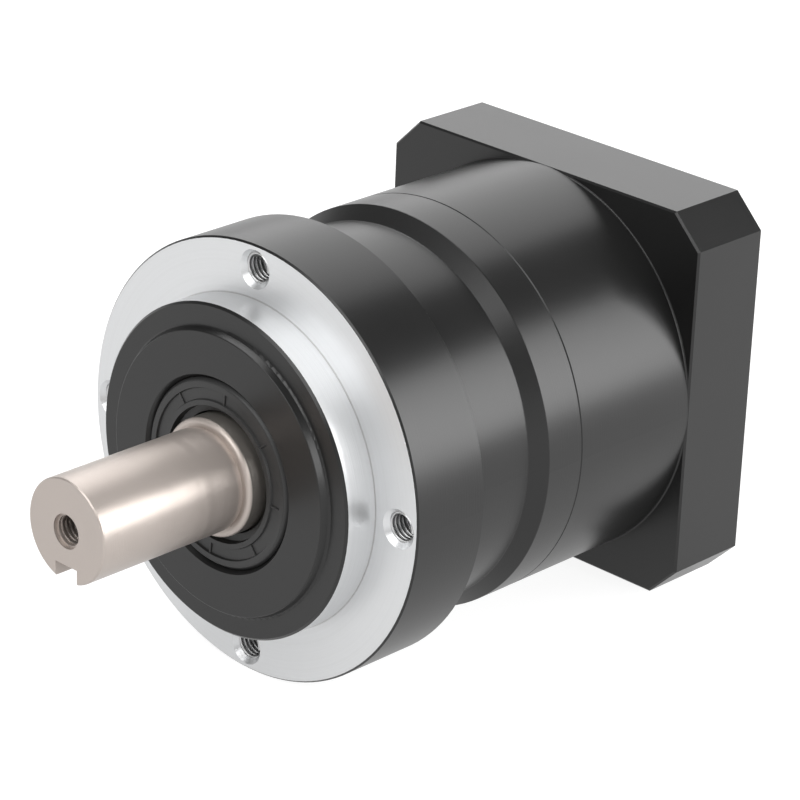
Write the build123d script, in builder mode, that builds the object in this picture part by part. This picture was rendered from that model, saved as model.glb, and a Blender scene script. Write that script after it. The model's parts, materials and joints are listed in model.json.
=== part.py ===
from build123d import *
from math import acos, atan, cos, degrees, pi, radians, sin, tan
import os

# A single-stage helical planetary gearbox, in millimetres.
# The main axis is Y: the output shaft points to -Y and the motor side faces +Y, with Z up.
# The origin is on the axis, in the silver mounting face of the output flange.
# An angle about the main axis runs from +X towards -Z, which is the right-hand turn about +Y.

# Gear train
normal_module = 1.25
helix_angle = 15.0
pressure_angle = 20.0
sun_teeth = 15
planet_teeth = 15
planet_count = 3
first_planet_angle = -90.0
gear_width = 14.0
sun_extra_width = 0.3
tooth_thinning = 0.1
root_factor = 1.25
ring_wall = 4.3
ring_gear_lead = 2.0
ring_gear_tail = 2.4

# Clearances
seat_gap = 0.02
running_gap = 0.05
planet_side_gap = 0.1
carrier_clearance = 0.87
planet_window_gap = 0.9

# Output shaft
shaft_radius = 10.5
shaft_end = -47.0
shaft_chamfer = 0.25
collar_radius = 12.0
collar_front = -11.7
collar_round = 1.0
collar_undercut = 0.35
undercut_length = 1.15
key_width = 6.0
key_depth = 3.5
key_length = 30.0
centre_hole_radius = 3.0
centre_hole_depth = 18.0
centre_sink_radius = 3.5
centre_sink_depth = 0.8

# Output housing
flange_radius = 45.0
flange_thickness = 18.3
flange_edge = 0.4
pilot_radius = 34.0
pilot_length = 7.1
pilot_chamfer = 0.5
boss_radius = 28.7
boss_height = 1.6
boss_slope = 0.7
boss_foot_fillet = 0.6
boss_edge_fillet = 0.25
neck_radius = 39.3
neck_end = 36.7
cone_end = 39.9
body_side = 84.0
body_relief = 0.05
neck_fillet = 0.4
cone_fillet = 0.3
joint_line = 49.4
joint_chamfer = 0.2
flange_bolt_circle = 80.0
flange_bolt_radius = 3.0
flange_bolt_depth = 14.0
flange_bolt_chamfer = 1.0

# Output seal
seal_radius = 18.5
seal_mouth_radius = 20.1
seal_mouth_depth = 2.2
seal_recess = 0.15
seal_width = 8.0
seal_band = 1.1
seal_band_slope = 0.2
seal_sink = 0.45
seal_face = 2.45
seal_shell = 1.5
seal_lip_height = 2.2
seal_ring_inner = 1.9
seal_ring_outer = 2.9
seal_well_taper = 0.2
seal_well_depth = 1.6
seal_lip_front = 1.9
seal_lip_lift = 0.3
seal_lip_edge = 3.85
seal_lip_end = 5.6

# Main bearings
bearing_outer_radius = 31.0
front_bearing_start = 1.0
front_bearing_width = 16.0
front_journal_radius = 15.0
bearing_spacer_width = 2.0
rear_bearing_width = 12.0
rear_journal_radius = 20.0
roller_count = 14
front_ring_wall = 4.7
front_roller_length = 11.0
front_journal_lead = 1.0
rear_ring_wall = 2.9
rear_roller_length = 7.6
roller_tilt = 12.0
roller_taper = 2.0
rib_height = 1.5
cage_thickness = 0.9
cage_overhang = 1.5
cage_play = 0.25

# Retaining rings
bore_ring_thickness = 2.0
bore_ring_depth = 2.4
bore_ring_bite = 1.3
shaft_ring_thickness = 1.5
shaft_ring_height = 2.4
shaft_ring_bite = 0.8
ring_opening = 16.0

# Planet carrier
carrier_shoulder_radius = 24.0
carrier_shoulder_length = 2.4
front_plate_thickness = 4.4
rear_plate_thickness = 4.0
post_inner_radius = 16.5
washer_thickness = 0.5
washer_radius = 7.8
pin_radius = 3.5
needle_radius = 1.5
needle_count = 10
needle_length = 13.0
carrier_screw_radius = 1.5
carrier_screw_head = 3.0
carrier_screw_length = 12.0
carrier_screw_circle = 44.4
carrier_screw_socket = 1.2
carrier_screw_socket_depth = 1.4

# Input side
square_start = 81.4
square_end = 101.2
square_corner = 6.75
plate_edge = 0.4
ring_recess_gap = 0.1
plate_cavity_radius = 30.0
plate_cavity_length = 4.1
input_bearing_radius = 27.5
input_bearing_width = 10.0
input_journal_radius = 17.5
input_land = 1.4
input_roller_count = 12
input_ring_wall = 2.4
input_roller_length = 6.0
input_shoulder = 1.7
input_shoulder_step = 3.0
input_seal_radius = 26.0
input_seal_width = 7.0
input_seal_gap = 0.2
motor_cavity_gap = 0.8
motor_cavity_radius = 31.0
motor_pilot_radius = 35.0
motor_pilot_length = 4.0
motor_bolt_circle = 90.0
motor_bolt_radius = 3.0
motor_bolt_depth = 15.0
motor_bolt_chamfer = 0.4
screw_circle = 77.6
screw_spread = 17.0
screw_radius = 2.0
screw_length = 45.0
screw_engagement = 8.0
screw_head_radius = 3.5
screw_head_height = 4.0
screw_play = 0.15
screw_end_room = 1.0

# Input shaft and clamp
hub_front_gap = 0.4
hub_recess = 0.6
motor_bore_radius = 9.5
motor_bore_depth = 28.0
hub_flange_radius = 19.5
hub_flange_length = 1.5
hub_slit = 1.5
hub_slit_gap = 0.5
sun_stub_radius = 7.0
sun_stub_length = 14.4
stub_hole_play = 0.2
clamp_ring_radius = 27.0
clamp_ring_width = 12.0
clamp_ring_recess = 0.1
clamp_slot = 2.0
clamp_screw_radius = 3.0
clamp_screw_head_radius = 5.0
clamp_screw_head_height = 6.0
clamp_screw_offset = 22.0
clamp_screw_length = 18.0
clamp_screw_head_seat = -7.0
socket_share = 0.5
access_radius = 5.5
access_plug_length = 5.0
access_plug_socket = 2.5

# Gear sizes that follow from the values above
transverse_module = normal_module / cos(radians(helix_angle))
transverse_angle = atan(tan(radians(pressure_angle)) / cos(radians(helix_angle)))
ring_teeth = sun_teeth + 2 * planet_teeth
sun_pitch = sun_teeth * transverse_module / 2
planet_pitch = planet_teeth * transverse_module / 2
ring_pitch = ring_teeth * transverse_module / 2
planet_orbit = sun_pitch + planet_pitch
tooth_thickness = pi * transverse_module / 2
tooth_root = root_factor * normal_module
ring_tip_radius = ring_pitch - normal_module
ring_root_radius = ring_pitch + tooth_root
ring_gear_radius = ring_root_radius + ring_wall

# Places along the axis that follow from the values above
body_radius = body_side / 2 - body_relief
rim_front = -(pilot_length + pilot_chamfer)
boss_front = rim_front - boss_height
seal_start = boss_front + seal_recess
seal_end = seal_start + seal_width
front_bearing_end = front_bearing_start + front_bearing_width
rear_bearing_start = front_bearing_end + bearing_spacer_width
rear_bearing_end = rear_bearing_start + rear_bearing_width
bore_ring_end = rear_bearing_end + bore_ring_thickness
front_plate_start = rear_bearing_end + carrier_shoulder_length
front_plate_end = front_plate_start + front_plate_thickness
gear_start = front_plate_end + washer_thickness + planet_side_gap
gear_end = gear_start + gear_width
rear_plate_start = gear_end + planet_side_gap + washer_thickness
rear_plate_end = rear_plate_start + rear_plate_thickness
ring_gear_start = front_plate_end - ring_gear_lead
ring_gear_end = gear_end + ring_gear_tail
carrier_radius = ring_tip_radius - carrier_clearance
recess_end = ring_gear_end + ring_recess_gap
web_front = recess_end + plate_cavity_length
input_bearing_start = web_front + input_land + bore_ring_thickness
input_bearing_end = input_bearing_start + input_bearing_width
input_seal_start = input_bearing_end + input_shoulder + input_seal_gap
input_seal_end = input_seal_start + input_seal_width
motor_cavity_start = input_seal_end + motor_cavity_gap
hub_start = web_front + hub_front_gap
hub_end = square_end - motor_pilot_length - hub_recess
clamp_ring_start = hub_end - clamp_ring_recess - clamp_ring_width
clamp_middle = clamp_ring_start + clamp_ring_width / 2
needle_bore_radius = pin_radius + 2 * needle_radius + 2 * seat_gap
needle_orbit = pin_radius + needle_radius + seat_gap
screw_head_seat = joint_line + screw_length - screw_engagement
screw_end = screw_head_seat - screw_length
motor_bore_bottom = hub_end - motor_bore_depth

os.makedirs("parts", exist_ok=True)

planet_angles = [first_planet_angle + 360 / planet_count * k for k in range(planet_count)]
post_angles = [angle + 180 / planet_count for angle in planet_angles]


def across(y, x=0.0, z=0.0, angle=0.0):
    """A plane square to the main axis at y, seen from the front; local x points at angle."""
    return Plane((x, y, z), x_dir=(cos(radians(angle)), 0, -sin(radians(angle))), z_dir=(0, 1, 0))


def orbit_point(radius, angle):
    """The x and z of a point at this radius and angle about the main axis."""
    return radius * cos(radians(angle)), -radius * sin(radians(angle))


def turned(*outline):
    """A piece turned about the main axis, from the (radius, y) corners of its half section."""
    with BuildPart() as piece:
        with BuildSketch(Plane.XY):
            with BuildLine():
                Polyline(*outline, close=True)
            make_face()
        revolve(axis=Axis.Y)
    return piece.part


def plain_ring(inner, outer, start, end):
    """A ring of square section on the main axis."""
    return turned((inner, start), (outer, start), (outer, end), (inner, end))


def screw_circles(radius, kind=Circle, *extra):
    """A circle, or another outline, on each of the long screws' axes."""
    for side in (-1, 1):
        with PolarLocations(screw_circle / 2, 4, start_angle=side * screw_spread):
            kind(radius, *extra)


def save(piece, name):
    """Labels a finished piece and writes it as a file of that name."""
    piece.label = name
    export_step(piece, f"parts/{name}.step")


def tooth_profile(plane, teeth, root, tip, thickness, pitch):
    """The outline of a gear with involute flanks, its first tooth centred on the plane's x."""
    base = pitch * cos(transverse_angle)
    low = max(base, root)

    def roll(radius):
        """The involute function at a radius."""
        lean = acos(min(1.0, base / radius))
        return tan(lean) - lean

    def half_tooth(radius):
        """Half of the tooth's angle at a radius."""
        return thickness / (2 * pitch) + roll(pitch) - roll(max(radius, base))

    def point(radius, angle):
        return radius * cos(angle), radius * sin(angle)

    flank = [low, (low + tip) / 2, tip]
    with BuildSketch(plane) as profile:
        with BuildLine():
            for tooth in range(teeth):
                middle = 2 * pi * tooth / teeth
                following = middle + 2 * pi / teeth
                rise = [point(radius, middle - half_tooth(radius)) for radius in flank]
                fall = [point(radius, middle + half_tooth(radius)) for radius in reversed(flank)]
                foot = point(root, middle + half_tooth(root))
                if root < low:
                    Line(point(root, middle - half_tooth(root)), rise[0])
                    Line(fall[-1], foot)
                ThreePointArc(*rise)
                Line(rise[-1], fall[0])
                ThreePointArc(*fall)
                Line(foot, point(root, following - half_tooth(root)))
        make_face()
    return profile.sketch.faces()[0]


def helical_teeth(teeth, root, tip, thickness, start, end, hand, centre=(0.0, 0.0), angle=0.0):
    """A twisted gear body. Its teeth are in phase with the rest of the train at any y."""
    pitch = teeth * transverse_module / 2
    turn_per_mm = hand * degrees(tan(radians(helix_angle)) / pitch)
    phase = turn_per_mm * (start - gear_start)
    plane = across(start, centre[0], centre[1], angle + phase)
    profile = tooth_profile(plane, teeth, root, tip, thickness, pitch)
    return Solid.extrude_linear_with_rotation(
        profile, (centre[0], start, centre[1]), (0, end - start, 0), turn_per_mm * (end - start)
    )


# Output housing: pilot, flange, neck and the body band in one turned piece
bore_groove_radius = bearing_outer_radius + bore_ring_bite
with BuildPart() as output_housing:
    with BuildSketch(Plane.XY) as half_section:
        with BuildLine():
            Polyline(
                (seal_mouth_radius, boss_front),
                (boss_radius, boss_front),
                (boss_radius + boss_slope, rim_front),
                (pilot_radius - pilot_chamfer, rim_front),
                (pilot_radius, -pilot_length),
                (pilot_radius, 0),
                (flange_radius - flange_edge, 0),
                (flange_radius, flange_edge),
                (flange_radius, flange_thickness - flange_edge),
                (flange_radius - flange_edge, flange_thickness),
                (neck_radius, flange_thickness),
                (neck_radius, neck_end),
                (body_radius, cone_end),
                (body_radius, joint_line - joint_chamfer),
                (body_radius - joint_chamfer, joint_line),
                (ring_gear_radius, joint_line),
                (ring_gear_radius, ring_gear_start),
                (bearing_outer_radius, ring_gear_start),
                (bearing_outer_radius, bore_ring_end),
                (bore_groove_radius, bore_ring_end),
                (bore_groove_radius, rear_bearing_end),
                (bearing_outer_radius, rear_bearing_end),
                (bearing_outer_radius, front_bearing_start),
                (seal_radius, front_bearing_start),
                (seal_radius, boss_front + seal_mouth_depth),
                close=True,
            )
        make_face()
        boss_foot = half_section.vertices().sort_by_distance((boss_radius + boss_slope, rim_front))[0]
        fillet(boss_foot, boss_foot_fillet)
        boss_edge = half_section.vertices().sort_by_distance((boss_radius, boss_front))[0]
        fillet(boss_edge, boss_edge_fillet)
        neck_corner = half_section.vertices().sort_by_distance((neck_radius, neck_end))[0]
        fillet(neck_corner, neck_fillet)
        cone_corner = half_section.vertices().sort_by_distance((body_radius, cone_end))[0]
        fillet(cone_corner, cone_fillet)
    revolve(axis=Axis.Y)
    with Locations(across(0)):
        with PolarLocations(flange_bolt_circle / 2, 4):
            with Locations(Location((0, 0, 0), (180, 0, 0))):
                CounterSinkHole(
                    flange_bolt_radius,
                    flange_bolt_radius + flange_bolt_chamfer,
                    depth=flange_bolt_depth,
                    counter_sink_angle=90,
                )
    with BuildSketch(across(joint_line)):
        screw_circles(screw_radius + seat_gap)
    extrude(amount=screw_end - screw_end_room - joint_line, mode=Mode.SUBTRACT)
save(output_housing.part, "output_housing")

# Input adapter: round body, square motor plate, bearing seat, seal seat and motor pilot
with BuildPart() as motor_plate:
    with BuildSketch(across(square_start)) as plate_outline:
        Rectangle(body_side, body_side)
        chamfer(plate_outline.vertices(), square_corner)
    extrude(amount=square_end - square_start)
    chamfer(motor_plate.edges().filter_by(Axis.Y, reverse=True), plate_edge)

with BuildPart() as input_adapter:
    with BuildSketch(across(joint_line)):
        Circle(body_radius)
    extrude(amount=square_start + plate_edge - joint_line)
    chamfer(input_adapter.edges().group_by(Axis.Y)[0], joint_chamfer)
    add(motor_plate.part)
    with BuildSketch(Plane.XY):
        with BuildLine():
            Polyline(
                (0, joint_line),
                (ring_gear_radius, joint_line),
                (ring_gear_radius, recess_end),
                (plate_cavity_radius, recess_end),
                (plate_cavity_radius, web_front),
                (input_bearing_radius, web_front),
                (input_bearing_radius, web_front + input_land),
                (input_bearing_radius + bore_ring_bite, web_front + input_land),
                (input_bearing_radius + bore_ring_bite, input_bearing_start),
                (input_bearing_radius, input_bearing_start),
                (input_bearing_radius, input_bearing_end),
                (input_bearing_radius - input_shoulder_step, input_bearing_end),
                (input_bearing_radius - input_shoulder_step, input_bearing_end + input_shoulder),
                (input_seal_radius, input_bearing_end + input_shoulder),
                (input_seal_radius, motor_cavity_start),
                (motor_cavity_radius, motor_cavity_start),
                (motor_cavity_radius, square_end - motor_pilot_length),
                (motor_pilot_radius, square_end - motor_pilot_length),
                (motor_pilot_radius, square_end),
                (0, square_end),
                close=True,
            )
        make_face()
    revolve(axis=Axis.Y, mode=Mode.SUBTRACT)
    with Locations(across(square_end)):
        with PolarLocations(motor_bolt_circle / 2, 4, start_angle=45):
            CounterSinkHole(
                motor_bolt_radius,
                motor_bolt_radius + motor_bolt_chamfer,
                depth=motor_bolt_depth,
                counter_sink_angle=90,
            )
    with BuildSketch(across(joint_line)):
        screw_circles(screw_radius + screw_play)
    extrude(amount=screw_head_seat - joint_line, mode=Mode.SUBTRACT)
    with BuildSketch(across(screw_head_seat)):
        screw_circles(screw_head_radius + screw_play)
    extrude(amount=square_end - screw_head_seat, mode=Mode.SUBTRACT)
    with BuildSketch(Plane.YZ.offset(-body_radius)):
        with Locations((clamp_middle, clamp_screw_offset)):
            Circle(access_radius)
    extrude(amount=body_radius, mode=Mode.SUBTRACT)
save(input_adapter.part, "input_adapter")

# Ring gear: pressed into the housing and centring the adapter
ring_cutter = helical_teeth(
    ring_teeth,
    ring_tip_radius,
    ring_root_radius,
    tooth_thickness + tooth_thinning,
    ring_gear_start - 1,
    ring_gear_end + 1,
    hand=-1,
    angle=first_planet_angle,
)
with BuildPart() as ring_gear:
    with BuildSketch(across(ring_gear_start)):
        Circle(ring_gear_radius - seat_gap)
    extrude(amount=ring_gear_end - ring_gear_start)
    add(ring_cutter, mode=Mode.SUBTRACT)
save(ring_gear.part, "ring_gear")

# Planet gears, each with the bore that its needles run in
for number, planet_angle in enumerate(planet_angles, start=1):
    planet_x, planet_z = orbit_point(planet_orbit, planet_angle)
    planet_body = helical_teeth(
        planet_teeth,
        planet_pitch - tooth_root,
        planet_pitch + normal_module,
        tooth_thickness - tooth_thinning,
        gear_start,
        gear_end,
        hand=-1,
        centre=(planet_x, planet_z),
        angle=planet_angle,
    )
    with BuildPart() as planet_gear:
        add(planet_body)
        with BuildSketch(across(gear_start, planet_x, planet_z)):
            Circle(needle_bore_radius)
        extrude(amount=gear_width, mode=Mode.SUBTRACT)
    save(planet_gear.part, f"planet_gear_{number}")

    with BuildPart() as needles:
        needle_start = gear_start + (gear_width - needle_length) / 2
        with BuildSketch(across(needle_start, planet_x, planet_z, planet_angle)):
            with PolarLocations(needle_orbit, needle_count):
                Circle(needle_radius)
        extrude(amount=needle_length)
    save(needles.part, f"planet_needles_{number}")

# Sun gear with the stub that is pressed into the input shaft
sun_body = helical_teeth(
    sun_teeth,
    sun_pitch - tooth_root,
    sun_pitch + normal_module,
    tooth_thickness - tooth_thinning,
    gear_start - sun_extra_width,
    gear_end + sun_extra_width,
    hand=1,
    angle=first_planet_angle,
)
sun_end = gear_end + sun_extra_width
with BuildPart() as sun_gear:
    add(sun_body)
    with BuildSketch(across(sun_end)):
        Circle(sun_stub_radius)
    extrude(amount=sun_stub_length)
save(sun_gear.part, "sun_gear")

# Output shaft and planet carrier in one piece, turned, with three posts behind its front plate
shaft_groove_radius = front_journal_radius - shaft_ring_bite
shaft_groove_start = front_bearing_start - shaft_ring_thickness
keyway_side = Plane((0, 0, 0), x_dir=(0, 0, -1), z_dir=(1, 0, 0))
with BuildPart() as output_shaft:
    with BuildSketch(keyway_side) as shaft_section:
        with BuildLine():
            Polyline(
                (0, shaft_end),
                (shaft_radius - shaft_chamfer, shaft_end),
                (shaft_radius, shaft_end + shaft_chamfer),
                (shaft_radius, collar_front - undercut_length),
                (shaft_radius - collar_undercut, collar_front - undercut_length),
                (shaft_radius - collar_undercut, collar_front),
                (collar_radius, collar_front),
                (collar_radius, shaft_groove_start - front_journal_lead),
                (front_journal_radius, shaft_groove_start - front_journal_lead),
                (front_journal_radius, shaft_groove_start),
                (shaft_groove_radius, shaft_groove_start),
                (shaft_groove_radius, front_bearing_start),
                (front_journal_radius, front_bearing_start),
                (front_journal_radius, front_bearing_end),
                (rear_journal_radius, front_bearing_end),
                (rear_journal_radius, rear_bearing_end),
                (carrier_shoulder_radius, rear_bearing_end),
                (carrier_shoulder_radius, front_plate_start),
                (carrier_radius, front_plate_start),
                (carrier_radius, front_plate_end),
                (0, front_plate_end),
                close=True,
            )
        make_face()
        collar_edge = shaft_section.vertices().sort_by_distance((collar_radius, collar_front))[0]
        fillet(collar_edge, collar_round)
    revolve(axis=Axis.Y)
    with BuildSketch(across(front_plate_end)):
        Circle(carrier_radius)
        Circle(post_inner_radius, mode=Mode.SUBTRACT)
        with PolarLocations(planet_orbit, planet_count, start_angle=first_planet_angle):
            Circle(planet_pitch + normal_module + planet_window_gap, mode=Mode.SUBTRACT)
    extrude(amount=rear_plate_start - front_plate_end)
    with BuildSketch(across(front_plate_start)):
        with PolarLocations(planet_orbit, planet_count, start_angle=first_planet_angle):
            Circle(pin_radius + seat_gap)
    extrude(amount=front_plate_thickness, mode=Mode.SUBTRACT)
    with BuildSketch(across(rear_plate_start)):
        with PolarLocations(carrier_screw_circle / 2, planet_count, start_angle=post_angles[0]):
            Circle(carrier_screw_radius + seat_gap)
    extrude(amount=rear_plate_thickness - carrier_screw_length - screw_end_room, mode=Mode.SUBTRACT)
    with BuildSketch(Plane.XZ.offset(-shaft_end)):
        with Locations((0, -shaft_radius)):
            Rectangle(key_width, 2 * key_depth)
    extrude(amount=-(key_length - key_width / 2), mode=Mode.SUBTRACT)
    with BuildSketch(Plane.XY.offset(-shaft_radius)):
        with Locations((0, shaft_end + key_length - key_width / 2)):
            Circle(key_width / 2)
    extrude(amount=key_depth, mode=Mode.SUBTRACT)
    with Locations(Plane.XZ.offset(-shaft_end)):
        CounterBoreHole(
            centre_hole_radius, centre_sink_radius, centre_sink_depth, depth=centre_hole_depth
        )
save(output_shaft.part, "output_shaft")

# Rear plate of the carrier, held to the posts by countersunk screws
with BuildPart() as carrier_rear_plate:
    with BuildSketch(across(rear_plate_start)):
        Circle(carrier_radius)
        Circle(sun_pitch + normal_module + planet_window_gap, mode=Mode.SUBTRACT)
        with PolarLocations(planet_orbit, planet_count, start_angle=first_planet_angle):
            Circle(pin_radius + seat_gap, mode=Mode.SUBTRACT)
    extrude(amount=rear_plate_thickness)
    with Locations(across(rear_plate_end)):
        with PolarLocations(carrier_screw_circle / 2, planet_count, start_angle=post_angles[0]):
            CounterSinkHole(
                carrier_screw_radius + seat_gap,
                carrier_screw_head + seat_gap,
                depth=rear_plate_thickness,
                counter_sink_angle=90,
            )
save(carrier_rear_plate.part, "carrier_rear_plate")

with BuildPart() as carrier_screws:
    head_taper = carrier_screw_head - carrier_screw_radius
    with BuildSketch(across(rear_plate_end - carrier_screw_length)):
        with PolarLocations(carrier_screw_circle / 2, planet_count, start_angle=post_angles[0]):
            Circle(carrier_screw_radius)
    extrude(amount=carrier_screw_length)
    with BuildSketch(across(rear_plate_end)):
        with PolarLocations(carrier_screw_circle / 2, planet_count, start_angle=post_angles[0]):
            Circle(carrier_screw_head)
    extrude(amount=-head_taper, taper=45)
    with BuildSketch(across(rear_plate_end)):
        with PolarLocations(carrier_screw_circle / 2, planet_count, start_angle=post_angles[0]):
            RegularPolygon(carrier_screw_socket, 6)
    extrude(amount=-carrier_screw_socket_depth, mode=Mode.SUBTRACT)
save(carrier_screws.part, "carrier_screws")

# Planet pins and the thrust washers on either side of each planet
with BuildPart() as planet_pins:
    with BuildSketch(across(front_plate_start)):
        with PolarLocations(planet_orbit, planet_count, start_angle=first_planet_angle):
            Circle(pin_radius)
    extrude(amount=rear_plate_end - front_plate_start)
save(planet_pins.part, "planet_pins")

with BuildPart() as thrust_washers:
    for washer_start in (front_plate_end, rear_plate_start - washer_thickness):
        with BuildSketch(across(washer_start)):
            with PolarLocations(planet_orbit, planet_count, start_angle=first_planet_angle):
                Circle(washer_radius)
                Circle(pin_radius + running_gap, mode=Mode.SUBTRACT)
        extrude(amount=washer_thickness)
save(thrust_washers.part, "thrust_washers")


def roller_bearing(start, end, bore, outer, wall, length, tilt, taper, count, large_end):
    """
    The outer ring, inner ring, rollers and cage of a roller bearing on the main axis.
    Its rings are wall thick at the rollers' middle. The rollers lean by tilt towards the
    axis, away from their large end, which faces the front when large_end is -1 and the rear
    when it is 1. Raceways are cones about the axis.
    """
    radius = (outer - bore) / 2 - wall
    middle = Vector((outer + bore) / 2, (start + end) / 2)
    along = Vector(sin(radians(tilt)), large_end * cos(radians(tilt)))
    outward = Vector(cos(radians(tilt)), -large_end * sin(radians(tilt)))
    grow = length / 2 * tan(radians(taper))

    def corner(side, step, extra=0.0):
        """A point beside the roller: side 1 is outward, step 1 is at its large end."""
        reach = radius + step * grow + running_gap
        return middle + along * step * (length / 2 + extra) + outward * side * reach

    def at_face(side, y):
        """Where the raceway cone on this side meets the bearing's face at y."""
        near, far = corner(side, -1), corner(side, 1)
        share = (y - near.Y) / (far.Y - near.Y)
        return near.X + share * (far.X - near.X), y

    faces = (start, end) if large_end < 0 else (end, start)
    outer_ring = turned(
        (outer - seat_gap, start),
        (outer - seat_gap, end),
        at_face(1, end),
        at_face(1, start),
    )
    rib = outward * rib_height
    large_foot, small_foot = corner(-1, 1, running_gap), corner(-1, -1, running_gap)
    large_top, small_top = large_foot + rib, small_foot + rib
    inner_ring = turned(
        (bore + seat_gap, faces[0]),
        (large_top.X, faces[0]),
        (large_top.X, large_top.Y),
        (large_foot.X, large_foot.Y),
        (small_foot.X, small_foot.Y),
        (small_top.X, small_top.Y),
        (small_top.X, faces[1]),
        (bore + seat_gap, faces[1]),
    )
    large, small = radius + grow, radius - grow
    with BuildPart() as rollers:
        with BuildSketch(Plane((middle.X, middle.Y, 0), x_dir=(outward.X, outward.Y, 0))):
            with BuildLine():
                Polyline(
                    (0, -large_end * length / 2),
                    (small, -large_end * length / 2),
                    (large, large_end * length / 2),
                    (0, large_end * length / 2),
                    close=True,
                )
            make_face()
        revolve(axis=Axis((middle.X, middle.Y, 0), (along.X, along.Y, 0)))
        roller = rollers.part.solids()[0]
        for step in range(1, count):
            add(roller.rotate(Axis.Y, 360 / count * step))
    with BuildPart() as window:
        with BuildSketch(Plane((middle.X, middle.Y, 0), x_dir=(outward.X, outward.Y, 0))):
            Rectangle(4 * cage_thickness, length + 2 * cage_play)
        extrude(amount=large + cage_play, both=True)
    with BuildPart() as cage:
        with BuildSketch(Plane((middle.X, middle.Y, 0), x_dir=(outward.X, outward.Y, 0))):
            Rectangle(cage_thickness, length + 2 * cage_overhang)
        revolve(axis=Axis.Y)
        for step in range(count):
            add(window.part.rotate(Axis.Y, 360 / count * step), mode=Mode.SUBTRACT)
    return outer_ring, inner_ring, rollers.part, cage.part


bearings = {
    "front_bearing": roller_bearing(
        front_bearing_start, front_bearing_end, front_journal_radius, bearing_outer_radius,
        front_ring_wall, front_roller_length,
        roller_tilt, roller_taper, roller_count, large_end=-1,
    ),
    "rear_bearing": roller_bearing(
        rear_bearing_start, rear_bearing_end, rear_journal_radius, bearing_outer_radius,
        rear_ring_wall, rear_roller_length,
        roller_tilt, roller_taper, roller_count, large_end=1,
    ),
    "input_bearing": roller_bearing(
        input_bearing_start, input_bearing_end, input_journal_radius, input_bearing_radius,
        input_ring_wall, input_roller_length,
        0, 0, input_roller_count, large_end=-1,
    ),
}
for bearing_name, pieces in bearings.items():
    for piece, ending in zip(pieces, ("outer_ring", "inner_ring", "rollers", "cage")):
        save(piece, f"{bearing_name}_{ending}")

# Spacer between the outer rings of the main bearings
spacer_inner = bearing_outer_radius - bore_ring_depth - bore_ring_bite
bearing_spacer = plain_ring(
    spacer_inner, bearing_outer_radius - seat_gap, front_bearing_end, rear_bearing_start
)
save(bearing_spacer, "bearing_spacer")


def retaining_ring(inner, outer, start, thickness):
    """A spring ring with the opening that its pliers close or spread."""
    with BuildPart() as ring:
        with BuildSketch(across(start)):
            Circle(outer)
            Circle(inner, mode=Mode.SUBTRACT)
            with BuildLine():
                gap_reach = 2 * outer
                half_gap = radians(ring_opening / 2)
                Polyline(
                    (0, 0),
                    (gap_reach * cos(half_gap), gap_reach * sin(half_gap)),
                    (gap_reach * cos(half_gap), -gap_reach * sin(half_gap)),
                    close=True,
                )
            make_face(mode=Mode.SUBTRACT)
        extrude(amount=thickness)
    return ring.part


save(
    retaining_ring(
        bearing_outer_radius - bore_ring_depth,
        bore_groove_radius - seat_gap,
        rear_bearing_end,
        bore_ring_thickness,
    ),
    "housing_retaining_ring",
)
save(
    retaining_ring(
        input_bearing_radius - bore_ring_depth,
        input_bearing_radius + bore_ring_bite - seat_gap,
        input_bearing_start - bore_ring_thickness,
        bore_ring_thickness,
    ),
    "adapter_retaining_ring",
)
save(
    retaining_ring(
        shaft_groove_radius + seat_gap,
        front_journal_radius + shaft_ring_height,
        shaft_groove_start,
        shaft_ring_thickness,
    ),
    "shaft_retaining_ring",
)
hub_groove_radius = input_journal_radius - shaft_ring_bite
save(
    retaining_ring(
        hub_groove_radius + seat_gap,
        input_journal_radius + shaft_ring_height,
        input_bearing_start - shaft_ring_thickness,
        shaft_ring_thickness,
    ),
    "hub_retaining_ring",
)


def lip_seal(shaft, outer, front, back):
    """A rubber shaft seal: outer band, sunk face, raised ring, and a well down to its lip."""
    # front is the face that looks out of the gearbox, so back may lie on either side of it
    inward = 1 if back > front else -1
    band_inner = outer - seal_band
    shell_inner = outer - seal_shell
    lip_outer = shaft + seal_lip_height
    lip = shaft + running_gap
    return turned(
        (outer - seat_gap, front),
        (outer - seat_gap, back),
        (shell_inner, back),
        (shell_inner, front + inward * seal_face),
        (lip_outer, front + inward * seal_face),
        (lip_outer, front + inward * seal_lip_end),
        (lip, front + inward * seal_lip_edge),
        (lip + seal_lip_lift, front + inward * seal_lip_front),
        (shaft + seal_ring_inner - seal_well_taper, front + inward * seal_well_depth),
        (shaft + seal_ring_inner, front),
        (shaft + seal_ring_outer, front),
        (shaft + seal_ring_outer + seal_band_slope, front + inward * seal_sink),
        (band_inner - seal_band_slope, front + inward * seal_sink),
        (band_inner, front),
    )


save(lip_seal(collar_radius, seal_radius, seal_start, seal_end), "output_seal")
save(
    lip_seal(input_journal_radius, input_seal_radius, input_seal_end, input_seal_start),
    "input_seal",
)

# Long screws that hold the adapter to the housing
with BuildPart() as housing_screws:
    with BuildSketch(across(screw_end)):
        screw_circles(screw_radius)
    extrude(amount=screw_length)
    with BuildSketch(across(screw_head_seat)):
        screw_circles(screw_head_radius)
    extrude(amount=screw_head_height)
    with BuildSketch(across(screw_head_seat + screw_head_height)):
        screw_circles(screw_head_radius * socket_share, RegularPolygon, 6)
    extrude(amount=-screw_head_height * socket_share, mode=Mode.SUBTRACT)
save(housing_screws.part, "housing_screws")

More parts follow.
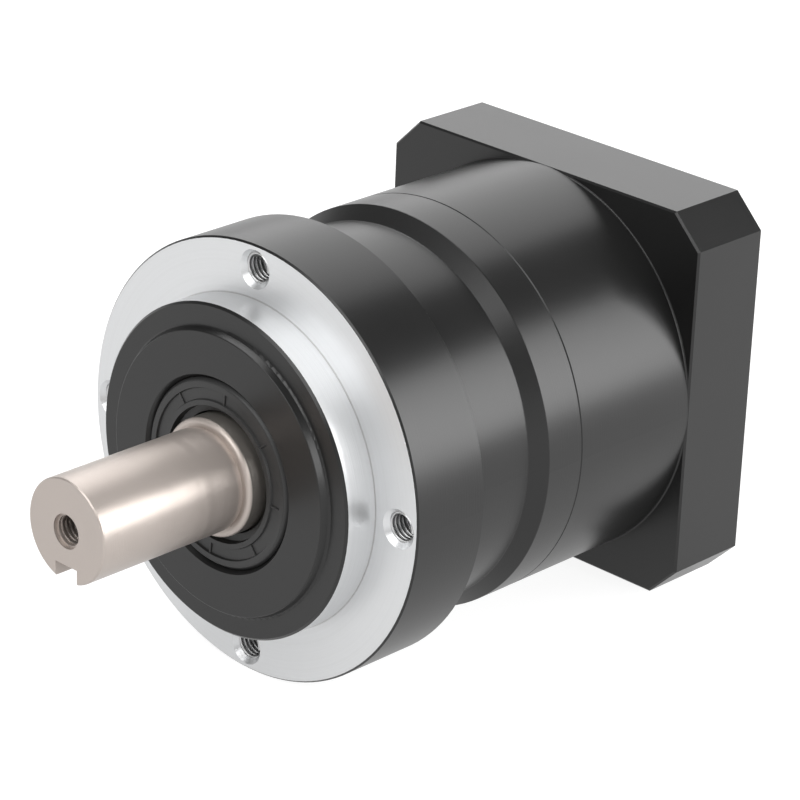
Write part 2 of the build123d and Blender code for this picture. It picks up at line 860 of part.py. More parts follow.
# Input shaft: a slit clamp hub for the motor shaft, with the sun gear's seat at its front
with BuildPart() as input_shaft:
    with BuildSketch(Plane.XY):
        with BuildLine():
            Polyline(
                (0, hub_start),
                (input_journal_radius, hub_start),
                (input_journal_radius, input_bearing_start - shaft_ring_thickness),
                (hub_groove_radius, input_bearing_start - shaft_ring_thickness),
                (hub_groove_radius, input_bearing_start),
                (input_journal_radius, input_bearing_start),
                (input_journal_radius, input_bearing_end),
                (hub_flange_radius, input_bearing_end),
                (hub_flange_radius, input_bearing_end + hub_flange_length),
                (input_journal_radius, input_bearing_end + hub_flange_length),
                (input_journal_radius, hub_end),
                (motor_bore_radius, hub_end),
                (motor_bore_radius, motor_bore_bottom),
                (0, motor_bore_bottom),
                close=True,
            )
        make_face()
    revolve(axis=Axis.Y)
    with BuildSketch(across(hub_start)):
        Circle(sun_stub_radius + seat_gap)
    extrude(amount=sun_end + sun_stub_length + stub_hole_play - hub_start, mode=Mode.SUBTRACT)
    with BuildSketch(across(hub_end)):
        Rectangle(hub_slit, 3 * input_journal_radius)
    extrude(amount=input_seal_end + hub_slit_gap - hub_end, mode=Mode.SUBTRACT)
save(input_shaft.part, "input_shaft")

# Clamp ring round the hub, split on its upper side and drawn together by one screw
with BuildPart() as clamp_ring:
    with BuildSketch(across(clamp_ring_start)):
        Circle(clamp_ring_radius)
        Circle(input_journal_radius + running_gap, mode=Mode.SUBTRACT)
        with Locations((0, -clamp_ring_radius)):
            slot_reach = 2 * (clamp_ring_radius - input_journal_radius) + clamp_slot
            Rectangle(clamp_slot, slot_reach, mode=Mode.SUBTRACT)
    extrude(amount=clamp_ring_width)
    with BuildSketch(Plane.YZ.offset(clamp_screw_head_seat)):
        with Locations((clamp_middle, clamp_screw_offset)):
            Circle(clamp_screw_radius + seat_gap)
    extrude(amount=clamp_ring_radius, mode=Mode.SUBTRACT)
    with BuildSketch(Plane.YZ.offset(clamp_screw_head_seat)):
        with Locations((clamp_middle, clamp_screw_offset)):
            Circle(clamp_screw_head_radius + screw_play)
    extrude(amount=-clamp_ring_radius, mode=Mode.SUBTRACT)
save(clamp_ring.part, "clamp_ring")

with BuildPart() as clamp_screw:
    with BuildSketch(Plane.YZ.offset(clamp_screw_head_seat)):
        with Locations((clamp_middle, clamp_screw_offset)):
            Circle(clamp_screw_radius)
    extrude(amount=clamp_screw_length)
    with BuildSketch(Plane.YZ.offset(clamp_screw_head_seat)):
        with Locations((clamp_middle, clamp_screw_offset)):
            Circle(clamp_screw_head_radius)
    extrude(amount=-clamp_screw_head_height)
    with BuildSketch(Plane.YZ.offset(clamp_screw_head_seat - clamp_screw_head_height)):
        with Locations((clamp_middle, clamp_screw_offset)):
            RegularPolygon(clamp_screw_head_radius * socket_share, 6)
    extrude(amount=clamp_screw_head_height * socket_share, mode=Mode.SUBTRACT)
save(clamp_screw.part, "clamp_screw")

# Plug in the adapter's side, taken out to reach the clamp screw
with BuildPart() as access_plug:
    with BuildSketch(Plane.YZ.offset(-body_radius)):
        with Locations((clamp_middle, clamp_screw_offset)):
            Circle(access_radius - seat_gap)
    extrude(amount=access_plug_length)
    with BuildSketch(Plane.YZ.offset(-body_radius)):
        with Locations((clamp_middle, clamp_screw_offset)):
            RegularPolygon(access_plug_socket, 6)
    extrude(amount=access_plug_length * socket_share, mode=Mode.SUBTRACT)
save(access_plug.part, "access_plug")
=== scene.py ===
import json
from math import cos, pi, radians, sin

import bpy
from mathutils import Matrix, Vector


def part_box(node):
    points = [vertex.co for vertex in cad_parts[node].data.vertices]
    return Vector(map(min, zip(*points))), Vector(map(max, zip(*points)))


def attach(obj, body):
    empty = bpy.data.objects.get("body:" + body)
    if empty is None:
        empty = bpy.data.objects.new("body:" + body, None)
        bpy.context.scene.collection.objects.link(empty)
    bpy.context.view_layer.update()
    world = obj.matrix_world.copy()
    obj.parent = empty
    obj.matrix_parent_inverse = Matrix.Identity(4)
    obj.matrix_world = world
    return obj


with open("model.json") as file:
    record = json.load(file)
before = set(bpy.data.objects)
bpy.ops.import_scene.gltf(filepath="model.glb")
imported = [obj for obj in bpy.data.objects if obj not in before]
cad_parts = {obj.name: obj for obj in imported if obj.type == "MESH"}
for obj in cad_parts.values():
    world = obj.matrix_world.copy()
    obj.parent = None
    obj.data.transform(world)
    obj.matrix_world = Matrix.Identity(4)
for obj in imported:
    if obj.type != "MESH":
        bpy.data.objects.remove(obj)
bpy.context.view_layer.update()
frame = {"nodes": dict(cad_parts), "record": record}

# A helical planetary gearbox: satin black shells, a bright turned flange face and a ground shaft.
# Lengths are in metres. The main axis is Y, and the first angle of a ring of copies about it is
# counted from +X towards -Z.

mm = 0.001
nodes = frame["nodes"]
mounts = {mount["name"]: mount for mount in frame["record"]["mounts"]}


def mount_size(mount, size):
    """A size of one of the part's interfaces, in metres."""
    return mounts[mount]["dims"][size] * mm


# Sizes of the part, from its interfaces and its solids where they state them
pilot_radius = mount_size("output_pilot", "r_mm")
pilot_length = mount_size("output_pilot", "length_mm")
bolt_count = 4
flange_bolt_circle = mount_size("flange_bolts", "pcd_mm") / 2
flange_bolt_radius = mount_size("flange_bolts", "hole_r_mm")
flange_bolt_depth = 14 * mm
flange_bolt_chamfer = 1 * mm
flange_bolt_first = 0.0
motor_pilot_radius = mount_size("motor_pilot", "r_mm")
motor_pilot_depth = 4 * mm
motor_bolt_circle = mount_size("motor_bolts", "pcd_mm") / 2
motor_bolt_radius = mount_size("motor_bolts", "hole_r_mm")
motor_bolt_depth = 15 * mm
motor_bolt_chamfer = 0.4 * mm
motor_bolt_first = radians(45)
motor_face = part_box("input_adapter")[1].y
centre_hole_radius = mount_size("shaft_end_thread", "r_mm")
centre_hole_length = mount_size("shaft_end_thread", "length_mm")
centre_sink_depth = 0.8 * mm
shaft_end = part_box("output_shaft")[0].y
seal_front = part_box("output_seal")[0].y
seal_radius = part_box("output_seal")[1].x
plate_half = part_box("input_adapter")[1].x
plate_edge = 0.4 * mm
plate_front = 81.4 * mm
body_inset = 0.05 * mm
body_radius = plate_half - body_inset

# Detail that only the looks need
thread_pitch = 1 * mm
thread_tooth = 0.52 * mm
thread_tooth_corners = 3
thread_turn_steps = 40
circle_points_least = 3
thread_lead = 0.2 * mm
plate_fillet = 0.3 * mm
plate_fillet_share = 0.8
plate_fillet_steps = 720
ring_least = 0.01 * mm
ring_sunk = 0.05 * mm
round_steps = 6
seal_edge_radius = 19.35 * mm
seal_edge_fall = 0.9 * mm
seal_edge_steps = 180
seal_panel_depth = 0.45 * mm
seal_rib_inner = 15.0 * mm
seal_rib_length = 2.3 * mm
seal_rib_radius = 0.2 * mm
seal_rib_sides = 12
seal_rib_lift = 0.13 * mm
seal_rib_count = 8
seal_rib_first = radians(-84.5)


class Wire:
    """One output of a node. Python's operators on it add Math nodes to its tree."""

    def __init__(self, graph, socket):
        self.graph = graph
        self.socket = socket

    def math(self, operation, *others):
        return self.graph.math(operation, self, *others)

    def __add__(self, other):
        return self.math("ADD", other)

    def __sub__(self, other):
        return self.math("SUBTRACT", other)

    def __mul__(self, other):
        return self.math("MULTIPLY", other)

    def __truediv__(self, other):
        return self.math("DIVIDE", other)

    def __pow__(self, other):
        return self.math("POWER", other)

    def __gt__(self, other):
        return self.math("GREATER_THAN", other)

    def __lt__(self, other):
        return self.math("LESS_THAN", other)

    def __rsub__(self, other):
        return self.graph.math("SUBTRACT", other, self)

    __radd__ = __add__

    def most(self, other):
        return self.math("MAXIMUM", other)

    def least(self, other):
        return self.math("MINIMUM", other)


class Graph:
    """Adds nodes to one node tree, and links them."""

    def __init__(self, tree):
        self.tree = tree

    def feed(self, socket, value):
        """Gives an input a wire or a fixed value."""
        if isinstance(value, Wire):
            self.tree.links.new(value.socket, socket)
        else:
            socket.default_value = value

    def node(self, kind, settings=None, inputs=None):
        """A node of this kind. Its settings are made before its inputs, by name or place."""
        made = self.tree.nodes.new(kind)
        for name, value in (settings or {}).items():
            setattr(made, name, value)
        for name, value in (inputs or {}).items():
            self.feed(made.inputs[name], value)
        return made

    def wire(self, kind, settings=None, inputs=None, output=0):
        """The same, as the wire that leaves one of its outputs."""
        return Wire(self, self.node(kind, settings, inputs).outputs[output])

    def math(self, operation, *values):
        return self.wire("ShaderNodeMath", {"operation": operation}, dict(enumerate(values)))

    def parts(self, vector):
        """The x, y and z of a vector."""
        split = self.node("ShaderNodeSeparateXYZ", inputs={0: vector})
        return [Wire(self, output) for output in split.outputs]

    def vector(self, x, y, z):
        return self.wire("ShaderNodeCombineXYZ", inputs={0: x, 1: y, 2: z})

    def blend(self, share, first, second):
        """A colour between two colours."""
        made = self.node("ShaderNodeMix", {"data_type": "RGBA"})
        for name, value in (("Factor", share), ("A", first), ("B", second)):
            socket = [entry for entry in made.inputs if entry.name == name and entry.enabled][0]
            self.feed(socket, value)
        return Wire(self, [entry for entry in made.outputs if entry.enabled][0])

    def noise(self, place, scale, detail, dimensions="3D"):
        """Noise between 0 and 1, at a place or, in one dimension, along a number."""
        entry = "W" if dimensions == "1D" else "Vector"
        inputs = {entry: place, "Scale": scale, "Detail": detail}
        return self.wire("ShaderNodeTexNoise", {"noise_dimensions": dimensions}, inputs)

    def bump(self, height, strength, distance):
        inputs = {"Height": height, "Strength": strength, "Distance": distance}
        return self.wire("ShaderNodeBump", inputs=inputs)


def grey(value, warmth=0.0):
    """A colour near grey; warmth above 0 turns it towards red, below 0 towards blue."""
    return (value * (1 + warmth), value, value * (1 - warmth), 1.0)


def empty_graph(owner):
    """The emptied node tree of a material or a world."""
    owner.use_nodes = True
    owner.node_tree.nodes.clear()
    return Graph(owner.node_tree)


def surface(name, look):
    """A material whose Principled shader takes the inputs that look(graph) returns."""
    material = bpy.data.materials.new(name)
    graph = empty_graph(material)
    shader = graph.wire("ShaderNodeBsdfPrincipled", inputs=look(graph))
    graph.node("ShaderNodeOutputMaterial", inputs={"Surface": shader})
    return material


def object_place(graph):
    return graph.wire("ShaderNodeTexCoord", output="Object")


def about_axis(graph, place):
    """How far a place is from the main axis, and its x, y and z."""
    x, y, z = graph.parts(place)
    return (x * x + z * z) ** 0.5, x, y, z


# Finishes. A noise has its waves per metre and its finer layers. A noise of rings runs along the
# radius plus a share of y, its lean, so that it also marks a cylinder. What a noise adds to the
# roughness or to the height of the bump is named after both.

# Satin black anodising
anodised_dark = grey(0.0055)
anodised_pale = grey(0.0095, 0.01)
anodised_cloud = {"scale": 38.0, "detail": 3.0}
anodised_grain = {"scale": 5200.0, "detail": 3.0}
anodised_rings = {"scale": 5200.0, "detail": 4.0, "dimensions": "1D"}
anodised_lean = 0.7
anodised_roughness = 0.25
cloud_roughness = 0.05
grain_roughness = 0.04
grain_height = 0.1
rings_height = 0.5
anodised_depth = 0.02 * mm
anodised_ior = 1.5

# Aluminium that is turned or drilled bright after anodising
machined_tone = grey(0.75, -0.012)
machined_shade = grey(0.70, -0.008)
machined_rings = {"scale": 1500.0, "detail": 5.0, "dimensions": "1D"}
machined_lean = 0.9
machined_roughness = 0.32
machined_rings_roughness = 0.05
machined_metal = 0.82
# Painted shade: the concave corner where the pilot meets the flange face gets a darker tone,
# within this reach
corner_shade_reach = 0.22 * mm
corner_shade_tone = grey(0.58)
bright_margin = 0.03 * mm

# Steel
steel_cloud = {"scale": 70.0, "detail": 2.0}
steel_rings = {"scale": 9000.0, "detail": 2.0, "dimensions": "1D"}
steel_lean = 0.8
steel_cloud_share = 0.6
steel_rings_share = 0.4
steel_rings_roughness = 0.06
steel_cloud_roughness = 0.04
steel_depth = 0.01 * mm
bronze_dark = (0.44, 0.27, 0.12, 1)
bronze_pale = (0.56, 0.36, 0.18, 1)

# The shaft, and the collar that its seal runs on
shaft_dark = (0.50, 0.443, 0.405, 1)
shaft_pale = (0.53, 0.468, 0.43, 1)
shaft_roughness = 0.26
shaft_depth = 0.035 * mm
shaft_metal = 0.62
# The collar's darker colour is a painted reflection of the dark seal and boss round it
collar_shade_tone = (0.44, 0.41, 0.375, 1)
collar_metal = 0.82
collar_inner = 11.2 * mm
collar_edge = -10.9 * mm
collar_rear = 1.0 * mm

# Nitrile rubber
rubber_dark = grey(0.022)
rubber_pale = grey(0.032)
rubber_cloud = {"scale": 200.0, "detail": 2.0}
rubber_grain = {"scale": 3000.0, "detail": 3.0}
rubber_roughness = 0.40
rubber_grain_roughness = 0.08
rubber_strength = 0.12
rubber_depth = 0.03 * mm
rubber_ior = 1.5

# Black oxide
oxide_tone = grey(0.030, -0.01)
oxide_worn = grey(0.16)
oxide_wear = {"scale": 420.0, "detail": 5.0}
oxide_grain = {"scale": 5200.0, "detail": 2.0}
oxide_wear_start = 0.56
oxide_wear_gain = 2.2
oxide_roughness = 0.30
oxide_wear_roughness = 0.14
oxide_metal = 0.85
oxide_strength = 0.15
oxide_depth = 0.02 * mm


def anodised_look(graph, bright=None):
    """Satin black anodising. bright(radius, x, y, z) marks what is machined after it."""
    place = object_place(graph)
    radius, x, y, z = about_axis(graph, place)
    grain = graph.noise(place, **anodised_grain)
    cloud = graph.noise(place, **anodised_cloud)
    rings = graph.noise(radius + y * anodised_lean, **anodised_rings)
    colour = graph.blend(cloud, anodised_dark, anodised_pale)
    roughness = cloud * cloud_roughness + grain * grain_roughness + anodised_roughness
    height = grain * grain_height + rings * rings_height
    looks = {"Base Color": colour, "Roughness": roughness, "IOR": anodised_ior}
    if bright is not None:
        share = bright(radius, x, y, z)
        coarse = graph.noise(radius + y * machined_lean, **machined_rings)
        metal = graph.blend(coarse, machined_shade, machined_tone)
        # Painted shade: a darker tone in the concave corner where the pilot meets the flange face
        foot = (y > -corner_shade_reach) * (y < corner_shade_reach)
        corner = (radius < pilot_radius + corner_shade_reach) * foot
        metal = graph.blend(corner, metal, corner_shade_tone)
        smoothness = rings * machined_rings_roughness + machined_roughness
        height = height * (1 - share) + (rings + coarse) * share
        looks["Base Color"] = graph.blend(share, colour, metal)
        looks["Roughness"] = roughness * (1 - share) + smoothness * share
        looks["Metallic"] = share * machined_metal
    looks["Normal"] = graph.bump(height, 1.0, anodised_depth)
    return looks


def bolt_holes(x, z, circle, first, reach):
    """1 within reach of the axis of any of the holes in a ring."""
    found = None
    for step in range(bolt_count):
        angle = first + 2 * pi * step / bolt_count
        across, up = x - circle * cos(angle), z - circle * sin(angle)
        inside = (across * across + up * up) < reach * reach
        found = inside if found is None else found.most(inside)
    return found


def housing_bright(radius, x, y, z):
    """The flange face, the pilot and the tapped holes, turned and drilled after anodising."""
    outside = radius > pilot_radius - bright_margin
    face = outside * (y > -(pilot_length + bright_margin)) * (y < bright_margin)
    reach = flange_bolt_radius + flange_bolt_chamfer + bright_margin
    holes = bolt_holes(x, z, flange_bolt_circle, flange_bolt_first, reach)
    deep = holes * (y < flange_bolt_depth + bright_margin)
    return face.most(deep * (y > -bright_margin))


def adapter_bright(radius, x, y, z):
    """The motor's pilot bore, and the tapped holes round it."""
    reach = motor_bolt_radius + motor_bolt_chamfer + bright_margin
    holes = bolt_holes(x, z, motor_bolt_circle, motor_bolt_first, reach)
    deep = holes * (y > motor_face - motor_bolt_depth - bright_margin)
    bore = radius < motor_pilot_radius + bright_margin
    return deep.most(bore * (y > motor_face - motor_pilot_depth - bright_margin))


def steel_look(graph, dark, pale, roughness, depth=steel_depth, metal=1.0):
    """Ground or turned steel: fine rings about the main axis, so deep, and a cloudy tone."""
    place = object_place(graph)
    radius, _, y, _ = about_axis(graph, place)
    rings = graph.noise(radius + y * steel_lean, **steel_rings)
    cloud = graph.noise(place, **steel_cloud)
    share = cloud * steel_cloud_share + rings * steel_rings_share
    return {
        "Base Color": graph.blend(share, dark, pale),
        "Roughness": rings * steel_rings_roughness + cloud * steel_cloud_roughness + roughness,
        "Metallic": metal,
        "Normal": graph.bump(rings, 1.0, depth),
    }


def shaft_look(graph):
    """The ground shaft. The collar that the seal runs on is more metallic, and its colour is
    painted darker, a painted reflection of the dark seal and boss round it.
    """
    looks = steel_look(graph, shaft_dark, shaft_pale, shaft_roughness, shaft_depth, shaft_metal)
    radius, _, y, _ = about_axis(graph, object_place(graph))
    collar = (radius > collar_inner) * (y > collar_edge) * (y < collar_rear)
    # Painted reflection: the collar's colour is darkened for the dark seal and boss that it
    # reflects
    looks["Base Color"] = graph.blend(collar, looks["Base Color"], collar_shade_tone)
    looks["Metallic"] = shaft_metal + collar * (collar_metal - shaft_metal)
    return looks


def rubber_look(graph):
    """Matt black nitrile rubber with a moulded grain."""
    place = object_place(graph)
    grain = graph.noise(place, **rubber_grain)
    cloud = graph.noise(place, **rubber_cloud)
    return {
        "Base Color": graph.blend(cloud, rubber_dark, rubber_pale),
        "Roughness": grain * rubber_grain_roughness + rubber_roughness,
        "Normal": graph.bump(grain, rubber_strength, rubber_depth),
        "IOR": rubber_ior,
    }


def oxide_look(graph):
    """Black oxide steel with brighter worn patches."""
    place = object_place(graph)
    wear = graph.noise(place, **oxide_wear)
    grain = graph.noise(place, **oxide_grain)
    worn = (wear - oxide_wear_start).most(0) * oxide_wear_gain
    return {
        "Base Color": graph.blend(worn, oxide_tone, oxide_worn),
        "Roughness": wear * oxide_wear_roughness + oxide_roughness,
        "Metallic": oxide_metal,
        "Normal": graph.bump(grain, oxide_strength, oxide_depth),
    }


def machined(name, bright):
    """Black anodising that is machined bright in places."""
    return surface(name, lambda graph: anodised_look(graph, bright))


def steel(name, dark, pale, roughness):
    """A metal with steel's fine rings, between two tones."""
    return surface(name, lambda graph: steel_look(graph, dark, pale, roughness))


finishes = {
    "shell": surface("black_anodised_shell", anodised_look),
    "housing": machined("black_anodised_housing", housing_bright),
    "adapter": machined("black_anodised_adapter", adapter_bright),
    "tapped": steel("bright_thread", dark=grey(0.50), pale=grey(0.66), roughness=0.25),
    "shaft": surface("ground_shaft", shaft_look),
    "gear": steel("ground_gear", dark=grey(0.36), pale=grey(0.46), roughness=0.27),
    "bearing": steel("bearing_steel", dark=grey(0.58), pale=grey(0.68), roughness=0.14),
    "cage": steel("pressed_cage", dark=grey(0.38, 0.02), pale=grey(0.48, 0.02), roughness=0.36),
    "spring": steel("spring_steel", dark=grey(0.09), pale=grey(0.14), roughness=0.38),
    "bronze": steel("washer_bronze", dark=bronze_dark, pale=bronze_pale, roughness=0.30),
    "oxide": surface("black_oxide", oxide_look),
    "rubber": surface("seal_rubber", rubber_look),
}

slot_finish = {
    "black_anodised": "shell",
    "shaft_steel": "shaft",
    "gear_steel": "gear",
    "bearing_steel": "bearing",
    "cage_steel": "cage",
    "spring_steel": "spring",
    "black_steel": "oxide",
    "seal_rubber": "rubber",
    "bronze": "bronze",
}
own_finish = {"output_housing": "housing", "input_adapter": "adapter"}


def dress_node(name, slot):
    """Gives a part of the frame its own finish, or else the one of its material."""
    part = nodes[name]
    finish = finishes[own_finish.get(name, slot_finish[slot])]
    for entry in part.material_slots:
        entry.material = finish


for subpart in frame["record"]["subparts"]:
    dress_node(subpart["node"], subpart["material_slot"])


def add_object(name, data):
    """A new object in the scene, at the origin."""
    made = bpy.data.objects.new(name, data)
    bpy.context.scene.collection.objects.link(made)
    return made


def new_tree(name, inputs):
    """A Geometry Nodes tree with these number inputs; returns its graph and its input wires."""
    tree = bpy.data.node_groups.new(name, "GeometryNodeTree")
    for label in inputs:
        tree.interface.new_socket(label, in_out="INPUT", socket_type="NodeSocketFloat")
    tree.interface.new_socket("Geometry", in_out="OUTPUT", socket_type="NodeSocketGeometry")
    graph = Graph(tree)
    entry = graph.node("NodeGroupInput")
    return graph, [Wire(graph, socket) for socket in entry.outputs[: len(inputs)]]


def end_tree(graph, shape, along, finish):
    """Turns what was made about Z to the main axis, and ends its tree with real, dressed faces."""
    middle = graph.vector(0, along, 0)
    laid = graph.wire(
        "GeometryNodeTransform",
        inputs={"Geometry": shape, "Rotation": (-pi / 2, 0, 0), "Translation": middle},
    )
    real = graph.wire("GeometryNodeRealizeInstances", inputs={"Geometry": laid})
    worn = graph.wire("GeometryNodeSetMaterial", inputs={"Geometry": real, "Material": finish})
    graph.node("NodeGroupOutput", inputs={0: worn})


def grow(name, graph, values, body):
    """The plain mesh that a tree makes with these values, as a piece that rides on a body."""
    holder = add_object(name, bpy.data.meshes.new(name + "_start"))
    modifier = holder.modifiers.new("grow", "NODES")
    modifier.node_group = graph.tree
    for socket in graph.tree.interface.items_tree:
        if socket.in_out == "INPUT":
            modifier[socket.identifier] = float(values[socket.name])
    shown = holder.evaluated_get(bpy.context.evaluated_depsgraph_get())
    mesh = bpy.data.meshes.new_from_object(shown)
    holder.modifiers.clear()
    holder.data = mesh
    mesh.name = name
    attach(holder, body)


def thread_tree(name, finish):
    """Turns of a thread's ridge in a ring of holes, which are bored along Y from Start."""
    labels = ["Hole Radius", "Tooth", "Pitch", "Turns", "Start", "Circle", "Count", "First Angle"]
    graph, wires = new_tree(name, labels)
    hole, tooth, pitch, turns, start, circle, count, first = wires
    helix = graph.wire(
        "GeometryNodeCurveSpiral",
        inputs={
            "Resolution": thread_turn_steps,
            "Rotations": turns,
            "Start Radius": hole,
            "End Radius": hole,
            "Height": turns * pitch,
        },
    )
    upright = graph.wire("GeometryNodeSetCurveNormal", {"mode": "Z_UP"}, {"Curve": helix})
    corners = graph.wire(
        "GeometryNodeCurvePrimitiveCircle",
        {"mode": "RADIUS"},
        {"Resolution": thread_tooth_corners, "Radius": tooth},
    )
    ridge = graph.wire(
        "GeometryNodeCurveToMesh",
        inputs={"Curve": upright, "Profile Curve": corners, "Fill Caps": True},
    )
    spots = graph.wire("GeometryNodeMeshCircle", inputs={"Vertices": count, "Radius": circle})
    placed = graph.wire(
        "GeometryNodeInstanceOnPoints", inputs={"Points": spots, "Instance": ridge}
    )
    turned = graph.wire(
        "GeometryNodeTransform", inputs={"Geometry": placed, "Rotation": graph.vector(0, 0, first)}
    )
    end_tree(graph, turned, start, finish)
    return graph


thread_graph = thread_tree("tapped_thread", finishes["tapped"])
shaft_thread_graph = thread_tree("shaft_thread", finishes["shaft"])


def tapped_holes(name, graph, radius, start, length, circle, count, first, body):
    """The thread's turns in one hole on the axis, or in a ring of holes round it."""
    values = {
        "Hole Radius": radius,
        "Tooth": thread_tooth,
        "Pitch": thread_pitch,
        "Turns": length / thread_pitch,
        "Start": start,
        "Circle": circle,
        "Count": count,
        "First Angle": first,
    }
    grow(name, graph, values, body)


tapped_holes(
    "flange_bolt_threads",
    thread_graph,
    radius=flange_bolt_radius,
    start=flange_bolt_chamfer - thread_lead,
    length=flange_bolt_depth - 2 * flange_bolt_chamfer,
    circle=flange_bolt_circle,
    count=bolt_count,
    first=flange_bolt_first,
    body="gearbox_case",
)
tapped_holes(
    "motor_bolt_threads",
    thread_graph,
    radius=motor_bolt_radius,
    start=motor_face - motor_bolt_depth + thread_pitch,
    length=motor_bolt_depth - 1.5 * thread_pitch,
    circle=motor_bolt_circle,
    count=bolt_count,
    first=motor_bolt_first,
    body="gearbox_case",
)

# A mesh circle has three points at least, so the turns of this one hole lie there three times
tapped_holes(
    "shaft_end_thread",
    shaft_thread_graph,
    radius=centre_hole_radius,
    start=shaft_end + centre_sink_depth + thread_pitch / 4,
    length=centre_hole_length - thread_pitch,
    circle=0.0,
    count=circle_points_least,
    first=0.0,
    body="output_carrier",
)


def rib_tree(name, finish):
    """Round-topped radial ribs in a ring about the main axis, at Along."""
    labels = ["Inner Radius", "Length", "Rib Radius", "Count", "First Angle", "Along"]
    graph, wires = new_tree(name, labels)
    inner, length, rib_radius, count, first, along = wires
    rib = graph.wire(
        "GeometryNodeMeshCylinder",
        inputs={"Vertices": seal_rib_sides, "Radius": rib_radius, "Depth": length},
    )
    middle = graph.vector(inner + length / 2, 0, 0)
    laid = graph.wire(
        "GeometryNodeTransform",
        inputs={"Geometry": rib, "Rotation": (0, pi / 2, 0), "Translation": middle},
    )
    spots = graph.wire("GeometryNodePoints", inputs={"Count": count})
    turn = graph.wire("GeometryNodeInputIndex") * (2 * pi) / count + first
    placed = graph.wire(
        "GeometryNodeInstanceOnPoints",
        inputs={"Points": spots, "Instance": laid, "Rotation": graph.vector(0, 0, turn)},
    )
    end_tree(graph, placed, along, finish)
    return graph


grow(
    "seal_ribs",
    rib_tree("seal_rib", finishes["rubber"]),
    {
        "Inner Radius": seal_rib_inner,
        "Length": seal_rib_length,
        "Rib Radius": seal_rib_radius,
        "Count": seal_rib_count,
        "First Angle": seal_rib_first,
        "Along": seal_front + seal_panel_depth - seal_rib_lift,
    },
    "gearbox_case",
)


def turned_ring(name, section, steps, finish, body):
    """A ring about the main axis. section(angle) gives its outline's points: radius and place."""
    points, faces = [], []
    for step in range(steps):
        angle = 2 * pi * step / steps
        outline = section(angle)
        points += [(radius * cos(angle), along, radius * sin(angle)) for radius, along in outline]
    size = len(outline)
    for step in range(steps):
        here, there = step * size, (step + 1) % steps * size
        for corner in range(size):
            following = (corner + 1) % size
            faces.append((here + corner, here + following, there + following, there + corner))
    mesh = bpy.data.meshes.new(name)
    mesh.from_pydata(points, [], faces)
    mesh.validate()
    mesh.polygons.foreach_set("use_smooth", [True] * len(mesh.polygons))
    mesh.materials.append(finish)
    piece = add_object(name, mesh)
    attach(piece, body)


def plate_fillet_section(angle):
    """The small round where the body meets the square plate; it thins out at the plate's sides."""
    room = (plate_half - plate_edge) / max(abs(cos(angle)), abs(sin(angle))) - body_radius
    size = max(min(plate_fillet, plate_fillet_share * room), ring_least)
    outline = []
    for step in range(round_steps + 1):
        turn = pi / 2 * step / round_steps
        radius = body_radius + size * (1 - cos(turn))
        outline.append((radius, plate_front - size * (1 - sin(turn))))
    outline.append((body_radius - ring_sunk, plate_front + ring_sunk))
    return outline


def seal_edge_section(angle):
    """The seal's rubber edge, which rolls down to the housing's chamfer, all round alike."""
    inner = seal_radius - ring_sunk
    outline = []
    for step in range(round_steps + 1):
        turn = pi / 2 * step / round_steps
        radius = inner + (seal_edge_radius - inner) * step / round_steps
        outline.append((radius, seal_front + seal_edge_fall * (1 - cos(turn))))
    outline.append((inner, seal_front + 2 * seal_edge_fall))
    return outline


turned_ring(
    "plate_fillet",
    plate_fillet_section,
    plate_fillet_steps,
    finishes["shell"],
    "gearbox_case",
)
turned_ring(
    "seal_edge",
    seal_edge_section,
    seal_edge_steps,
    finishes["rubber"],
    "gearbox_case",
)

# Camera, solved from the photograph, a square picture of this many pixels a side. The sensor's
# width is in millimetres, as Blender takes it.
picture_side = 800
focal_pixels = 3583.12
axis_pixel = (404.225, 374.541)
camera_place = Vector((0.45296, -0.43961, 0.28974))
camera_azimuth = radians(43.2180)
camera_elevation = radians(23.1853)
camera_roll = radians(2.3482)
camera_nearest = 0.01
camera_farthest = 50.0
sensor_width = 36.0


def photo_camera():
    """The camera that sees the part as the photograph does."""
    level = Vector((cos(camera_azimuth), sin(camera_azimuth), 0))
    lift = Vector(
        (
            -sin(camera_elevation) * sin(camera_azimuth),
            sin(camera_elevation) * cos(camera_azimuth),
            cos(camera_elevation),
        )
    )
    right = cos(camera_roll) * level + sin(camera_roll) * lift
    up = -sin(camera_roll) * level + cos(camera_roll) * lift
    back = right.cross(up)
    data = bpy.data.cameras.new("photo_camera")
    data.sensor_width = sensor_width
    data.lens = focal_pixels / picture_side * sensor_width
    data.shift_x = (picture_side / 2 - axis_pixel[0]) / picture_side
    data.shift_y = (axis_pixel[1] - picture_side / 2) / picture_side
    data.clip_start = camera_nearest
    data.clip_end = camera_farthest
    camera = add_object("photo_camera", data)
    camera.matrix_world = Matrix(
        (
            (right.x, up.x, back.x, camera_place.x),
            (right.y, up.y, back.y, camera_place.y),
            (right.z, up.z, back.z, camera_place.z),
            (0, 0, 0, 1),
        )
    )
    bpy.context.scene.camera = camera


photo_camera()

# Studio. The world is white to the camera. To reflections it has a darker ceiling, over this rise
# of a ray, and matt surfaces get the ambient light.
white = grey(1.0)
ambient = 0.5
ceiling = 0.22
ceiling_rise = (0.02, 0.34)
floor_glow = 0.90
floor_reflected = 0.70
floor_tone = 0.25
floor_reach = 6.0
object_middle = Vector((0, 0.027, 0))


def seen_rays(graph):
    """1 for camera, glossy and transmission rays, which see the studio, and for camera rays."""
    path = graph.node("ShaderNodeLightPath")
    names = ("Is Camera Ray", "Is Glossy Ray", "Is Transmission Ray")
    camera, glossy, through = [Wire(graph, path.outputs[name]) for name in names]
    return camera.most(glossy).most(through), camera


def ramp(value, span):
    """0 below a span, 1 above it, and straight between."""
    low, high = span
    return ((value - low) / (high - low)).most(0.0).least(1.0)


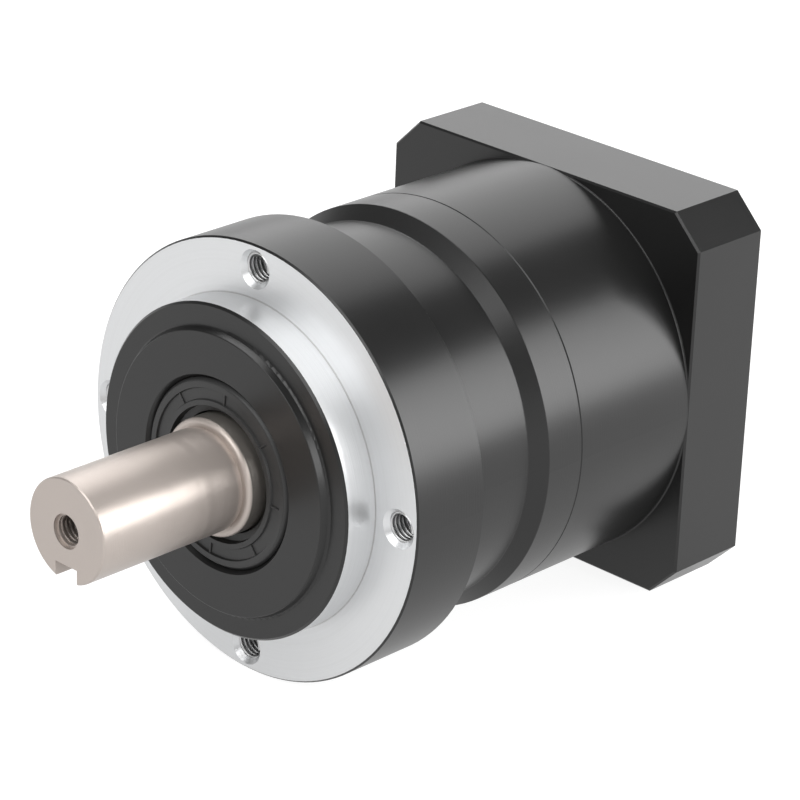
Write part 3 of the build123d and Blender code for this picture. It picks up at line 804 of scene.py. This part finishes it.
def studio_world():
    """White all round, with a darker ceiling that only reflections show."""
    world = bpy.data.worlds.new("studio")
    bpy.context.scene.world = world
    graph = empty_graph(world)
    seen, camera = seen_rays(graph)
    height = graph.parts(graph.wire("ShaderNodeTexCoord", output="Generated"))[2]
    sweep = 1 - ramp(height, ceiling_rise) * (1 - ceiling)
    strength = camera + (seen - camera) * sweep + (1 - seen) * ambient
    glow = graph.wire("ShaderNodeBackground", inputs={"Color": white, "Strength": strength})
    graph.node("ShaderNodeOutputWorld", inputs={"Surface": glow})


def studio_floor():
    """A white floor that keeps a faint shadow of the object."""
    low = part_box("output_housing")[0].z
    sides = [(-1, -1), (1, -1), (1, 1), (-1, 1)]
    corners = [(x * floor_reach, y * floor_reach, low) for x, y in sides]
    mesh = bpy.data.meshes.new("studio_floor")
    mesh.from_pydata(corners, [], [(0, 1, 2, 3)])
    floor = add_object("studio_floor", mesh)
    material = bpy.data.materials.new("studio_floor")
    graph = empty_graph(material)
    seen, camera = seen_rays(graph)
    paint = graph.wire("ShaderNodeBsdfDiffuse", inputs={"Color": grey(floor_tone)})
    strength = camera * floor_glow + (seen - camera) * floor_reflected
    glow = graph.wire("ShaderNodeEmission", inputs={"Color": white, "Strength": strength})
    both = graph.wire("ShaderNodeAddShader", inputs={0: paint, 1: glow})
    graph.node("ShaderNodeOutputMaterial", inputs={"Surface": both})
    mesh.materials.append(material)


def softbox(name, towards, away, size, glow):
    """A rectangular lamp that faces the object; glow is how bright its panel looks."""
    lamp = bpy.data.lights.new(name, "AREA")
    lamp.shape = "RECTANGLE"
    lamp.size, lamp.size_y = size
    lamp.energy = glow * pi * size[0] * size[1]
    light = add_object(name, lamp)
    direction = Vector(towards).normalized()
    light.location = object_middle + direction * away
    light.rotation_euler = direction.to_track_quat("Z", "Y").to_euler()


studio_world()
studio_floor()
softbox("back_left_softbox", towards=(-0.45, 0.67, 0.54), away=1.3, size=(1.1, 1.1), glow=1.65)
softbox("right_softbox", towards=(0.72, 0.66, 0.24), away=1.2, size=(0.62, 0.84), glow=4.2)
softbox("side_softbox", towards=(0.88, 0.12, 0.33), away=1.2, size=(1.2, 0.58), glow=4.3)
softbox("top_softbox", towards=(-0.32, 0.10, 0.94), away=1.3, size=(0.5, 0.9), glow=4.0)
softbox("front_softbox", towards=(0.08, -0.70, 0.64), away=1.4, size=(1.3, 0.8), glow=3.1)

bpy.context.scene.view_settings.view_transform = "Standard"
